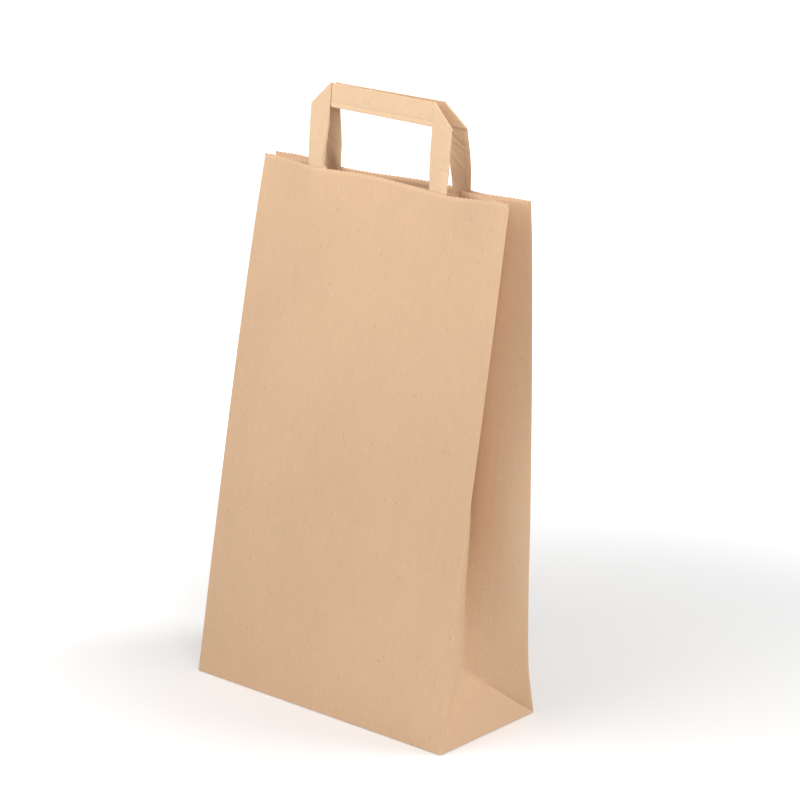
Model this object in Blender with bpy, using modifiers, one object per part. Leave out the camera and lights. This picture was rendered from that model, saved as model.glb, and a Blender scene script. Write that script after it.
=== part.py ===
"""A kraft paper carrier bag: a block-bottomed bag body with folded-in gussets, two flat tape handles
folded at their corners, and the two paper patches that hold the handles' legs inside the panels.

Metres, +Z up. X runs along the bag's width, the front panel faces -Y, and the origin is the middle of
the underside. Each object in the collection paper_carrier_bag is one physical piece.
"""

import math

import bmesh
import bpy
from mathutils import Vector

# The paper
PAPER = 0.0002
CLEARANCE = 0.0003

# The bag body
WIDTH = 0.2215
DEPTH = 0.1105
HEIGHT = 0.3788
FLAP_OVERLAP = 0.020
SEAM_WIDTH = 0.014
SEAM_MARGIN = 0.002
TOOTH_PITCH = 0.003
TOOTH_DEPTH = 0.001

# The side gussets: a triangle stands on each short side of the base, and a centre fold runs up from it
APEX_HEIGHT = 0.0415
APEX_INSET = 0.0255
CENTRE_FOLD_WIDTH = 0.0008

# How each gusset's centre fold goes in between the walls, and how far its two halves bow: share of the
# height, distance in from the base's end, place between the front fold and the back one, and the bow of
# the half by the front panel and of the half by the back panel
LEFT_GUSSET = [
    (APEX_HEIGHT / HEIGHT, APEX_INSET, 0.50, 0.0, 0.0), (0.26, 0.0310, 0.50, 0.0030, 0.0030),
    (0.42, 0.0375, 0.51, 0.0036, 0.0036), (0.61, 0.0435, 0.53, 0.0026, 0.0026),
    (0.82, 0.0480, 0.56, 0.0015, 0.0014), (1.00, 0.0500, 0.60, 0.0010, 0.0009),
]
RIGHT_GUSSET = [
    (APEX_HEIGHT / HEIGHT, APEX_INSET, 0.50, 0.0, 0.0), (0.26, 0.0284, 0.54, 0.0004, 0.0055),
    (0.42, 0.0324, 0.60, 0.0008, 0.0085), (0.61, 0.0430, 0.60, 0.0010, 0.0060),
    (0.82, 0.0500, 0.52, 0.0014, 0.0028), (1.00, 0.0530, 0.42, 0.0016, 0.0016),
]

# The panels' shape between the flat base and the wavy mouth
WAVE_START = 0.58
BELLY = 0.002

# The handles, of flat tape folded from paper
TAPE_WIDTH = 0.0168
TAPE_THICKNESS = 0.0005
TAPE_LAP = 0.00012
TAPE_SEAM = 0.24
HANDLE_SPAN = 0.1222
HANDLE_RISE = 0.0592

# The patches inside, over the legs' ends
PATCH_WIDTH = 0.156
PATCH_HEIGHT = 0.044
PATCH_DROP = 0.006
PATCH_MARGIN = 0.005
PATCH_RAMP = 0.003

# How finely each surface is divided
TRIANGLE_ROWS = 6
WALL_ROWS = 11
MOUTH_ROWS = 6
BEND_STEPS = 6
CROSSPIECE_STEPS = 8
LEG_STEPS = 4
PATCH_ROWS = 5

# What follows from the sizes above
SEAT = PAPER + CLEARANCE
FOLD_RADIUS = TAPE_THICKNESS / 2 + TAPE_LAP + CLEARANCE / 2
LEG_OUTER = HANDLE_SPAN / 2
LEG_INNER = LEG_OUTER - TAPE_WIDTH
LEG_MIDDLE = (LEG_OUTER + LEG_INNER) / 2
FLAP_LENGTH = (DEPTH + FLAP_OVERLAP) / 2
PATCH_TOP = HEIGHT - PATCH_DROP
PATCH_BOTTOM = PATCH_TOP - PATCH_HEIGHT
LEG_BOTTOM = PATCH_BOTTOM + PATCH_MARGIN

# The mouth's two edges, seen from above: share of the half width, and distance from the middle plane.
# The front edge swells out where the handle's legs stiffen it, and the back edge is pushed in on the
# left, so the bag stands a little more open on the right.
FRONT_MOUTH = [
    (-1.00, -0.0084), (-0.91, -0.0088), (-0.78, -0.0106), (-0.65, -0.0144), (-0.52, -0.0178),
    (-0.39, -0.0152), (-0.23, -0.0104), (-0.03, -0.0086), (0.14, -0.0114), (0.33, -0.0150),
    (0.49, -0.0186), (0.61, -0.0197), (0.73, -0.0163), (0.84, -0.0114), (0.93, -0.0094),
    (1.00, -0.0092),
]
BACK_MOUTH = [
    (-1.00, 0.0032), (-0.88, 0.0062), (-0.75, 0.0056), (-0.56, 0.0012), (-0.38, -0.0022),
    (-0.22, -0.0018), (-0.07, 0.0014), (0.05, 0.0050), (0.21, 0.0080), (0.38, 0.0084),
    (0.54, 0.0072), (0.66, 0.0058), (0.76, 0.0074), (0.86, 0.0101), (1.00, 0.0120),
]

# Each upright fold's drift from a straight line: share of the height, then along X and along Y
FRONT_LEFT_SWAY = [(0.0, 0.0, 0.0), (0.25, 0.0, -0.0020), (0.60, 0.0, -0.0034), (0.86, 0.0, -0.0022),
                   (1.0, 0.0, 0.0)]
FRONT_RIGHT_SWAY = [(0.0, 0.0, 0.0), (0.12, -0.0008, 0.0), (0.29, -0.0020, 0.0), (0.50, -0.0007, 0.0),
                    (0.75, 0.0, 0.0), (1.0, 0.0, 0.0)]
BACK_RIGHT_SWAY = [(0.0, 0.0, 0.0), (0.045, -0.0011, -0.0016), (0.10, -0.0021, -0.0030),
                   (0.25, -0.0018, -0.0027), (0.40, -0.0009, -0.0014), (0.65, 0.0, 0.0),
                   (0.90, 0.0004, 0.0005), (1.0, 0.0, 0.0)]
BACK_LEFT_SWAY = [(0.0, 0.0, 0.0), (0.10, 0.0016, -0.0020), (0.30, 0.0012, -0.0018), (0.60, 0.0, 0.0),
                  (1.0, 0.0, 0.0)]

# Where the mouth's four corners stand along X, measured in from the base's corners
MOUTH_INSET = {"front_left": 0.0042, "front_right": 0.0050, "back_right": 0.0026, "back_left": 0.0036}


def smooth_curve(points, place):
    """Each value at a place of the smooth curve through (place, value, ...) points."""
    last = len(points) - 1
    index = 0
    while index < last - 1 and place > points[index + 1][0]:
        index += 1
    start, end = points[index], points[index + 1]
    span = end[0] - start[0]
    before = points[max(index - 1, 0)]
    after = points[min(index + 2, last)]
    t = (place - start[0]) / span
    values = []
    for k in range(1, len(start)):
        slope_in = (end[k] - before[k]) / (end[0] - before[0]) * span
        slope_out = (after[k] - start[k]) / (after[0] - start[0]) * span
        values.append(
            (2 * t**3 - 3 * t**2 + 1) * start[k]
            + (t**3 - 2 * t**2 + t) * slope_in
            + (3 * t**2 - 2 * t**3) * end[k]
            + (t**3 - t**2) * slope_out
        )
    return values


def mix(a, b, t):
    return a + (b - a) * t


def ease(t):
    t = min(max(t, 0.0), 1.0)
    return t * t * (3 - 2 * t)


class UprightFold:
    """A fold from one corner of the base up to a corner of the mouth."""

    def __init__(self, side_x, side_y, mouth_inset, mouth_y, sway):
        self.base = (side_x * WIDTH / 2, side_y * DEPTH / 2)
        self.mouth = (side_x * (WIDTH / 2 - mouth_inset), mouth_y)
        self.sway = sway

    def at(self, rise):
        drift_x, drift_y = smooth_curve(self.sway, min(rise, 1.0))
        return (
            mix(self.base[0], self.mouth[0], rise) + drift_x,
            mix(self.base[1], self.mouth[1], rise) + drift_y,
        )


FRONT_LEFT = UprightFold(-1, -1, MOUTH_INSET["front_left"], FRONT_MOUTH[0][1], FRONT_LEFT_SWAY)
FRONT_RIGHT = UprightFold(1, -1, MOUTH_INSET["front_right"], FRONT_MOUTH[-1][1], FRONT_RIGHT_SWAY)
BACK_RIGHT = UprightFold(1, 1, MOUTH_INSET["back_right"], BACK_MOUTH[-1][1], BACK_RIGHT_SWAY)
BACK_LEFT = UprightFold(-1, 1, MOUTH_INSET["back_left"], BACK_MOUTH[0][1], BACK_LEFT_SWAY)


class Panel:
    """A main panel, front or back, with the place and lean of the handle that is glued inside it."""

    def __init__(self, outward, left, right, mouth, handle_shift, lean, curl, untwist):
        self.outward = outward
        self.left = left
        self.right = right
        self.mouth = mouth
        self.handle_shift = handle_shift
        self.lean = lean
        self.curl = curl
        self.untwist = untwist

    def smooth_point(self, across, rise):
        """A point of the panel's outer face: across runs from -1 to 1, and rise from 0 to 1."""
        share = (across + 1) / 2
        left, right = self.left.at(rise), self.right.at(rise)
        wave = smooth_curve(self.mouth, across)[0] - mix(self.mouth[0][1], self.mouth[-1][1], share)
        fade = max(rise - WAVE_START, 0.0) / (1 - WAVE_START)
        belly = BELLY * math.sin(math.pi * min(rise, 1.0)) * (1 - across**2)
        y = mix(left[1], right[1], share) + wave * fade**2 + self.outward * belly
        return Vector((mix(left[0], right[0], share), y, HEIGHT * rise))

    def columns(self):
        """Shares of the width at which the panel is divided, with one at each edge of each leg."""
        half = (self.right.mouth[0] - self.left.mouth[0]) / 2
        centre = (self.right.mouth[0] + self.left.mouth[0]) / 2
        patch_edge = PATCH_WIDTH / 2
        near_corner = mix(patch_edge, half, 0.5)
        side = [LEG_INNER * 0.36, LEG_INNER * 0.70, LEG_INNER, LEG_MIDDLE, LEG_OUTER,
                patch_edge, near_corner]
        places = [-x for x in reversed(side)] + [0.0] + side
        shares = [(x + self.handle_shift - centre) / half for x in places]
        return [-1.0] + shares + [1.0]

    def face_y(self, x, z):
        """Where the divided outer face lies at a place, between its rows and columns."""
        rise = z / HEIGHT
        row = max(k for k, share in enumerate(RISES[:-1]) if share <= rise or k == 0)
        up = (rise - RISES[row]) / (RISES[row + 1] - RISES[row])
        columns = self.columns()
        found = []
        for level in (RISES[row], RISES[row + 1]):
            points = [self.smooth_point(across, level) for across in columns]
            k = max(j for j, point in enumerate(points[:-1]) if point.x <= x or j == 0)
            t = (x - points[k].x) / (points[k + 1].x - points[k].x)
            found.append(mix(points[k].y, points[k + 1].y, t))
        return mix(found[0], found[1], up)

    def handle_y(self, x, z, inset):
        """The middle of the handle's tape: on the panel below the mouth, and a leaning plane above."""
        inward = -self.outward
        if z <= HEIGHT:
            return self.face_y(x, z) + inward * inset
        above = z - HEIGHT
        left_y = self.face_y(self.handle_shift - LEG_MIDDLE, HEIGHT)
        right_y = self.face_y(self.handle_shift + LEG_MIDDLE, HEIGHT)
        slope = (right_y - left_y) / (2 * LEG_MIDDLE)
        slope *= mix(1.0, self.untwist, ease(above / HANDLE_RISE))
        plane = (left_y + right_y) / 2 + slope * (x - self.handle_shift)
        settle = ease(above / TAPE_WIDTH)
        start = self.face_y(x, HEIGHT) if settle < 1 else plane
        y = mix(start, plane, settle)
        return y + inward * (inset + self.lean * above + self.curl * above**2)


def rises():
    """Shares of the height at which the walls are divided: closer in the base triangle and the mouth."""
    triangle = [APEX_HEIGHT * k / TRIANGLE_ROWS for k in range(TRIANGLE_ROWS + 1)]
    walls = [mix(APEX_HEIGHT, PATCH_BOTTOM, k / WALL_ROWS) for k in range(1, WALL_ROWS + 1)]
    mouth = [mix(PATCH_BOTTOM, HEIGHT, k / MOUTH_ROWS) for k in range(1, MOUTH_ROWS + 1)]
    above_cut = [HEIGHT + TOOTH_DEPTH]
    return [z / HEIGHT for z in triangle + walls + mouth + above_cut]


RISES = rises()
FRONT = Panel(-1, FRONT_LEFT, FRONT_RIGHT, FRONT_MOUTH, handle_shift=0.0, lean=0.02, curl=0.0,
              untwist=1.0)
BACK = Panel(1, BACK_LEFT, BACK_RIGHT, BACK_MOUTH, handle_shift=0.0015, lean=0.143, curl=0.94,
             untwist=0.5)


def gusset_shape(side_x, rise):
    """The centre fold's distance in, its place between the walls, and the bow of the two halves."""
    table = RIGHT_GUSSET if side_x > 0 else LEFT_GUSSET
    return smooth_curve(table, min(max(rise, table[0][0]), 1.0))


def centre_fold(side_x, front_fold, back_fold, rise):
    """The fold up the middle of a gusset: from the triangle's tip, deeper in as the walls close up."""
    inset, share = gusset_shape(side_x, rise)[:2]
    front_y, back_y = front_fold.at(rise)[1], back_fold.at(rise)[1]
    return side_x * (WIDTH / 2 - inset), mix(front_y, back_y, share)


def gusset_row(side_x, first, last, row):
    """Points of a gusset at one row, from the first upright fold to the last one.

    Below the triangle's tip, the row crosses the flat triangle and a sliver of each half. A column
    that starts in the triangle leaves it where the sloping fold crosses it.
    """
    rise = RISES[row]
    z = rise * HEIGHT
    start, end = first.at(rise), last.at(rise)
    towards_end = 1 if end[1] > start[1] else -1
    half_width = CENTRE_FOLD_WIDTH / 2 * towards_end
    front, back = (first, last) if towards_end > 0 else (last, first)
    points = []
    if row < TRIANGLE_ROWS:
        tip_x, tip_y = centre_fold(side_x, front, back, APEX_HEIGHT / HEIGHT)
        climbed = row / TRIANGLE_ROWS
        inside = TRIANGLE_ROWS - row
        halves = []
        for fold, edge, tip in ((first, start, tip_y - half_width), (last, end, tip_y + half_width)):
            crease = (mix(fold.base[0], tip_x, climbed), mix(fold.base[1], tip, climbed))
            centre = (mix(side_x * WIDTH / 2, tip_x, climbed), tip)
            half = [(mix(edge[0], crease[0], k / row), mix(edge[1], crease[1], k / row))
                    for k in range(row)]
            half += [(mix(crease[0], centre[0], k / inside), mix(crease[1], centre[1], k / inside))
                     for k in range(inside + 1)]
            halves.append(half)
        points = halves[0] + list(reversed(halves[1]))
    else:
        fold_x, fold_y = centre_fold(side_x, front, back, rise)
        bow_front, bow_back = gusset_shape(side_x, rise)[2:]
        bends = (bow_front, bow_back) if towards_end > 0 else (bow_back, bow_front)
        halves = []
        for edge, tip, bend in ((start, fold_y - half_width, bends[0]), (end, fold_y + half_width, bends[1])):
            along = Vector((fold_x - edge[0], tip - edge[1]))
            out = Vector((along.y, -along.x)).normalized()
            if out.x * side_x < 0:
                out = -out
            half = []
            for k in range(TRIANGLE_ROWS + 1):
                t = k / TRIANGLE_ROWS
                bow = bend * 4 * t * (1 - t)
                half.append((edge[0] + along.x * t + out.x * bow, edge[1] + along.y * t + out.y * bow))
            halves.append(half)
        points = halves[0] + list(reversed(halves[1]))
    return [Vector((x, y, z)) for x, y in points]


def body_ring(row):
    """One row of the bag's wall, anticlockwise from the front left fold, with each point's plies."""
    rise = RISES[row]
    lapped = row > 0
    ring = [(FRONT.smooth_point(across, rise), 1) for across in FRONT.columns()]
    ring += [(point, 1) for point in gusset_row(1, FRONT_RIGHT, BACK_RIGHT, row)[1:-1]]
    half = BACK.right.mouth[0]
    back = list(reversed(BACK.columns()))[:-2]
    ring += [(BACK.smooth_point(across, rise), 1) for across in back]
    seam_right = back[-1] - SEAM_MARGIN / half
    seam_left = seam_right - SEAM_WIDTH / half
    step = PAPER / 2 / half
    ring.append((BACK.smooth_point(seam_right + step, rise), 1))
    ring.append((BACK.smooth_point(seam_right, rise), 2 if lapped else 1))
    ring.append((BACK.smooth_point(seam_left, rise), 2 if lapped else 1))
    recessed = BACK.smooth_point(seam_left - step, rise)
    if lapped:
        recessed.y -= PAPER
    ring.append((recessed, 1))
    ring.append((BACK.smooth_point(-1.0, rise), 1))
    ring += [(point, 1) for point in gusset_row(-1, BACK_LEFT, FRONT_LEFT, row)[1:-1]]
    return ring


def new_collection(name):
    collection = bpy.data.collections.new(name)
    bpy.context.scene.collection.children.link(collection)
    return collection


def new_material(name, colour, roughness):
    material = bpy.data.materials.new(name)
    material.use_nodes = True
    shader = material.node_tree.nodes["Principled BSDF"]
    shader.inputs["Base Color"].default_value = (*colour, 1.0)
    shader.inputs["Roughness"].default_value = roughness
    shader.inputs["Metallic"].default_value = 0.0
    material.diffuse_color = (*colour, 1.0)
    return material


def object_from_bmesh(name, shape, collection, material=None):
    mesh = bpy.data.meshes.new(name)
    shape.to_mesh(mesh)
    shape.free()
    made = bpy.data.objects.new(name, mesh)
    collection.objects.link(made)
    if material:
        mesh.materials.append(material)
    return made


def hide_cutter(cutter):
    cutter.hide_render = True
    cutter.display_type = "WIRE"
    return cutter


def prism(name, outline, low, high, collection):
    """An upright prism over an outline in the XY plane, as a construction piece."""
    shape = bmesh.new()
    face = shape.faces.new([shape.verts.new((x, y, low)) for x, y in outline])
    if face.normal.z > 0:
        face.normal_flip()
    raised = bmesh.ops.extrude_face_region(shape, geom=[face])
    lifted = [item for item in raised["geom"] if isinstance(item, bmesh.types.BMVert)]
    bmesh.ops.translate(shape, verts=lifted, vec=(0, 0, high - low))
    bmesh.ops.recalc_face_normals(shape, faces=shape.faces)
    return hide_cutter(object_from_bmesh(name, shape, collection))


def box(name, low, high, collection):
    outline = [(low[0], low[1]), (high[0], low[1]), (high[0], high[1]), (low[0], high[1])]
    return prism(name, outline, low[2], high[2], collection)


def add_boolean(target, tool, operation):
    modifier = target.modifiers.new(f"{operation.lower()}_{tool.name}", "BOOLEAN")
    modifier.operation = operation
    modifier.solver = "EXACT"
    modifier.object = tool


def add_solidify(target, thickness, group=None):
    modifier = target.modifiers.new("paper", "SOLIDIFY")
    modifier.thickness = thickness
    modifier.offset = -1
    modifier.use_even_offset = True
    modifier.use_rim = True
    if group:
        modifier.vertex_group = group


def mouth_knife(collection):
    """The toothed knife that trims every layer of the mouth in one cut."""
    reach = WIDTH / 2 + TOOTH_PITCH
    teeth = math.ceil(2 * reach / TOOTH_PITCH)
    outline = []
    for k in range(2 * teeth + 1):
        depth = TOOTH_DEPTH if k % 2 else 0.0
        outline.append((-reach + k * TOOTH_PITCH / 2, HEIGHT - depth))
    above = HEIGHT + 4 * TOOTH_DEPTH
    outline += [(outline[-1][0], above), (-reach, above)]
    shape = bmesh.new()
    face = shape.faces.new([shape.verts.new((x, -DEPTH, z)) for x, z in outline])
    raised = bmesh.ops.extrude_face_region(shape, geom=[face])
    moved = [item for item in raised["geom"] if isinstance(item, bmesh.types.BMVert)]
    bmesh.ops.translate(shape, verts=moved, vec=(0, 2 * DEPTH, 0))
    bmesh.ops.recalc_face_normals(shape, faces=shape.faces)
    return hide_cutter(object_from_bmesh("mouth_knife", shape, collection))


def base_plies(collection):
    """What the folded base adds inside its outermost ply: a second ply all over, the two side flaps
    that were folded in first, and the strip where the long flaps overlap."""
    lean = APEX_INSET / APEX_HEIGHT
    half_y = DEPTH / 2 - PAPER / 2
    half_x, flap_far = (WIDTH / 2 - lean * count * PAPER - PAPER / 2 for count in (2, 3))
    flap_end = WIDTH / 2 - FLAP_LENGTH
    plies = [box("second_ply", (-half_x, -half_y, PAPER / 2), (half_x, half_y, 2 * PAPER), collection)]
    for side, name in ((-1, "side_flap_left"), (1, "side_flap_right")):
        near, far = sorted((side * flap_end, side * flap_far))
        plies.append(box(name, (near, -half_y, 1.5 * PAPER), (far, half_y, 3 * PAPER), collection))
    strip = flap_end - CLEARANCE
    plies.append(box("flap_overlap", (-strip, -FLAP_OVERLAP / 2, 1.5 * PAPER),
                     (strip, FLAP_OVERLAP / 2, 3 * PAPER), collection))
    return plies


def base_reliefs(collection):
    """Cuts under the base: the mitred ends, where the side flaps show one ply up between the long
    flaps, and the step along the free edge of the outermost flap."""
    margin = 10 * PAPER
    reliefs = []
    tip = WIDTH / 2 - DEPTH / 2
    for side, name in ((-1, "mitre_left"), (1, "mitre_right")):
        reach = WIDTH / 2 + margin
        outline = [(side * tip, 0.0), (side * reach, -DEPTH / 2 - margin), (side * reach, DEPTH / 2 + margin)]
        reliefs.append(prism(name, outline, -margin, PAPER, collection))
    edge = WIDTH / 2 - FLAP_LENGTH
    drop = FLAP_OVERLAP / 2
    path = [(-tip - CLEARANCE, CLEARANCE), (-edge, -drop), (edge, -drop), (tip + CLEARANCE, CLEARANCE)]
    below = [(x, y - CLEARANCE) for x, y in reversed(path)]
    reliefs.append(prism("flap_edge", path + below, -margin, PAPER, collection))
    return reliefs


def build_bag_body(collection, cutters, material):
    """The whole body is one sheet: walls, gussets and base, given the paper's thickness inward."""
    shape = bmesh.new()
    plies = shape.verts.layers.deform.verify()
    rings = []
    for row in range(len(RISES)):
        ring = []
        for point, count in body_ring(row):
            vert = shape.verts.new(point)
            vert[plies][0] = count / 2
            ring.append(vert)
        rings.append(ring)
    around = len(rings[0])
    right_start = len(FRONT.columns()) - 1
    left_end = around
    for row, (lower, upper) in enumerate(zip(rings, rings[1:])):
        for j in range(around):
            k = (j + 1) % around
            corners = [lower[j], lower[k], upper[k], upper[j]]
            crossed = sloping_fold_side(row, j, right_start, left_end)
            if crossed > 0:
                shape.faces.new((corners[0], corners[1], corners[3]))
                shape.faces.new((corners[1], corners[2], corners[3]))
            elif crossed < 0:
                shape.faces.new((corners[0], corners[1], corners[2]))
                shape.faces.new((corners[0], corners[2], corners[3]))
            else:
                shape.faces.new(corners)
    shape.faces.new(list(reversed(rings[0])))
    body = object_from_bmesh("bag_body", shape, collection, material)
    body.vertex_groups.new(name="plies")
    add_solidify(body, 2 * PAPER, "plies")
    for ply in base_plies(cutters):
        add_boolean(body, ply, "UNION")
    for relief in base_reliefs(cutters):
        add_boolean(body, relief, "DIFFERENCE")
    add_boolean(body, mouth_knife(cutters), "DIFFERENCE")
    return body


def sloping_fold_side(row, column, right_start, left_end):
    """Which way a wall cell is divided: along the sloping fold of the side triangle that crosses it."""
    if row >= TRIANGLE_ROWS:
        return 0
    gusset_cells = 2 * TRIANGLE_ROWS + 1
    for start in (right_start, left_end - gusset_cells):
        place = column - start
        if 0 <= place < gusset_cells:
            if place == row:
                return -1
            if place == gusset_cells - 1 - row:
                return 1
    return 0


def tape_point(panel, x, z, across_depth):
    """A point of the handle, from its place along X and Z and its distance inward from the panel."""
    inset = SEAT + TAPE_THICKNESS / 2 + TAPE_LAP / 2
    y = panel.handle_y(x, z, inset) - panel.outward * across_depth
    return Vector((x, y, z))


def tape_rows(panel):
    """Rows across the tape, from one leg's hidden end to the other's. Each row holds the tape's two
    edges along X and Z, its distance inward, and the direction that its lapped face points in."""
    middle = panel.handle_shift
    low_corner = HEIGHT + HANDLE_RISE - TAPE_WIDTH
    high_corner = HEIGHT + HANDLE_RISE
    hidden = [rise * HEIGHT for rise in RISES if LEG_BOTTOM < rise * HEIGHT <= HEIGHT]
    shown = [mix(HEIGHT, low_corner, k / LEG_STEPS) for k in range(1, LEG_STEPS)]
    heights = [LEG_BOTTOM] + hidden + shown
    half = math.sqrt(0.5)
    legs = {}
    for side in (1, -1):
        outer, inner = middle + side * LEG_OUTER, middle + side * LEG_INNER
        leg = [((outer, z), (inner, z), 0.0, (0.0, 1.0, 0.0)) for z in heights]
        leg.append(((outer, low_corner), (inner, high_corner), 0.0, (0.0, 1.0, 0.0)))
        for k in range(1, BEND_STEPS):
            turn = math.pi * k / BEND_STEPS
            out = FOLD_RADIUS * math.sin(turn) * half
            push = (side * out, out)
            normal = (-math.sin(turn) * half * side, math.cos(turn), -math.sin(turn) * half)
            leg.append((
                (outer + push[0], low_corner + push[1]),
                (inner + push[0], high_corner + push[1]),
                FOLD_RADIUS * (1 - math.cos(turn)),
                normal,
            ))
        legs[side] = leg
    crosspiece = []
    for k in range(CROSSPIECE_STEPS + 1):
        t = k / CROSSPIECE_STEPS
        crosspiece.append((
            (middle + mix(LEG_OUTER, -LEG_OUTER, t), low_corner),
            (middle + mix(LEG_INNER, -LEG_INNER, t), high_corner),
            2 * FOLD_RADIUS,
            (0.0, -1.0, 0.0),
        ))
    return legs[1] + crosspiece + list(reversed(legs[-1]))


def build_handle(name, panel, collection, material):
    """One length of lapped tape, folded across itself at both top corners: a loft of its section."""
    plain, lapped = -TAPE_THICKNESS / 2, TAPE_THICKNESS / 2 + TAPE_LAP
    section = [(0.0, plain), (TAPE_SEAM, plain), (0.5, plain), (1.0, plain), (1.0, lapped),
               (0.5, lapped), (TAPE_SEAM, lapped), (TAPE_SEAM, TAPE_THICKNESS / 2),
               (0.0, TAPE_THICKNESS / 2)]
    shape = bmesh.new()
    rings = []
    for edge_a, edge_b, depth, normal in tape_rows(panel):
        ring = []
        for share, height in section:
            x = mix(edge_a[0], edge_b[0], share) + normal[0] * height
            z = mix(edge_a[1], edge_b[1], share) + normal[2] * height
            ring.append(shape.verts.new(tape_point(panel, x, z, depth + normal[1] * height)))
        rings.append(ring)
    around = len(section)
    for lower, upper in zip(rings, rings[1:]):
        for j in range(around):
            k = (j + 1) % around
            shape.faces.new((lower[j], lower[k], upper[k], upper[j]))
    shape.faces.new(list(reversed(rings[0])))
    shape.faces.new(rings[-1])
    bmesh.ops.recalc_face_normals(shape, faces=shape.faces)
    return object_from_bmesh(name, shape, collection, material)


def build_patch(name, panel, collection, material):
    """A paper patch glued to the panel's inner face, which rises over the two legs beneath it."""
    over_leg = TAPE_THICKNESS + TAPE_LAP + CLEARANCE
    edge = PATCH_WIDTH / 2
    side = [LEG_INNER * 0.36, LEG_INNER * 0.70, LEG_INNER - PATCH_RAMP, LEG_INNER - CLEARANCE,
            LEG_MIDDLE, LEG_OUTER + CLEARANCE, LEG_OUTER + PATCH_RAMP, edge]
    places = [-x for x in reversed(side)] + [0.0] + side
    heights = [mix(PATCH_BOTTOM, PATCH_TOP, k / PATCH_ROWS) for k in range(PATCH_ROWS + 1)]
    shape = bmesh.new()
    grid = []
    for z in heights:
        line = []
        for x in places:
            covers = LEG_INNER - PATCH_RAMP < abs(x) < LEG_OUTER + PATCH_RAMP
            inset = SEAT + (over_leg if covers else 0.0)
            there = x + panel.handle_shift
            y = panel.face_y(there, z) - panel.outward * inset
            line.append(shape.verts.new((there, y, z)))
        grid.append(line)
    for lower, upper in zip(grid, grid[1:]):
        for j in range(len(lower) - 1):
            corners = [lower[j], lower[j + 1], upper[j + 1], upper[j]]
            shape.faces.new(corners if panel.outward < 0 else list(reversed(corners)))
    patch = object_from_bmesh(name, shape, collection, material)
    add_solidify(patch, PAPER)
    return patch


def main():
    for stale in list(bpy.data.objects):
        bpy.data.objects.remove(stale, do_unlink=True)
    bag = new_collection("paper_carrier_bag")
    cutters = new_collection("folding_and_cutting_tools")
    body_paper = new_material("body_paper", (0.69, 0.46, 0.29), 0.85)
    handle_paper = new_material("handle_paper", (0.76, 0.53, 0.34), 0.80)
    patch_paper = new_material("patch_paper", (0.66, 0.43, 0.26), 0.88)
    build_bag_body(bag, cutters, body_paper)
    build_handle("handle_front", FRONT, bag, handle_paper)
    build_handle("handle_back", BACK, bag, handle_paper)
    build_patch("patch_front", FRONT, bag, patch_paper)
    build_patch("patch_back", BACK, bag, patch_paper)


main()
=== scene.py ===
"""A brown kraft paper carrier bag with folded tape handles, dressed for its portrait.

The bag's sheet, its two handles and the patches inside it are remade here as fine surfaces over the
solids of the frame, with the paper's own finish. Metres, +Z up, the front panel faces -Y.
"""

import logging
import math
from dataclasses import dataclass, field
from enum import Enum
from typing import Dict, List, Optional, Sequence, Tuple, Union

import bpy
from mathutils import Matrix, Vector, noise


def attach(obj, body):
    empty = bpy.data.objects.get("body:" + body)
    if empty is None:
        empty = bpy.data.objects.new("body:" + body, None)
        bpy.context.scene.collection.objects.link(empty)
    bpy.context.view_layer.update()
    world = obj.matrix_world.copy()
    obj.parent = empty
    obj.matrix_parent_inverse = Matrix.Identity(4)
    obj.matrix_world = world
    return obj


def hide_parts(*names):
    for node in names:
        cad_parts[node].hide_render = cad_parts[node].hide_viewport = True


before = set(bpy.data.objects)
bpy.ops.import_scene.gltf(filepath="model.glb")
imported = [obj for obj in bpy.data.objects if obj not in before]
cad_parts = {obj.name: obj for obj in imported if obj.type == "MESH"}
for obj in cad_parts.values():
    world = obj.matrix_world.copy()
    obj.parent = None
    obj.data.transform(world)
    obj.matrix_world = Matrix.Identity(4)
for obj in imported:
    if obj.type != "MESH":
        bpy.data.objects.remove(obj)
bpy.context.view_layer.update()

LOG = logging.getLogger("paper_carrier_bag")
TINY = 1e-9

Table = Sequence[Tuple[float, ...]]
Colour = Tuple[float, float, float]
Triple = Tuple[float, float, float]
Place = Tuple[float, float]
WearAndHighlightPoints = List[Tuple[Vector, float]]
Socket = bpy.types.NodeSocket
Name = Union[str, int]
Value = Union[Socket, float]
Tint = Union[Socket, Tuple[float, float, float, float]]


class Side(Enum):
    """The two ends of the bag, along X."""

    LEFT = -1
    RIGHT = 1


class Ply(Enum):
    """How many sheets lie on each other, as a share of the doubled paper."""

    SINGLE = 0.5
    LAPPED = 1.0


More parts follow.
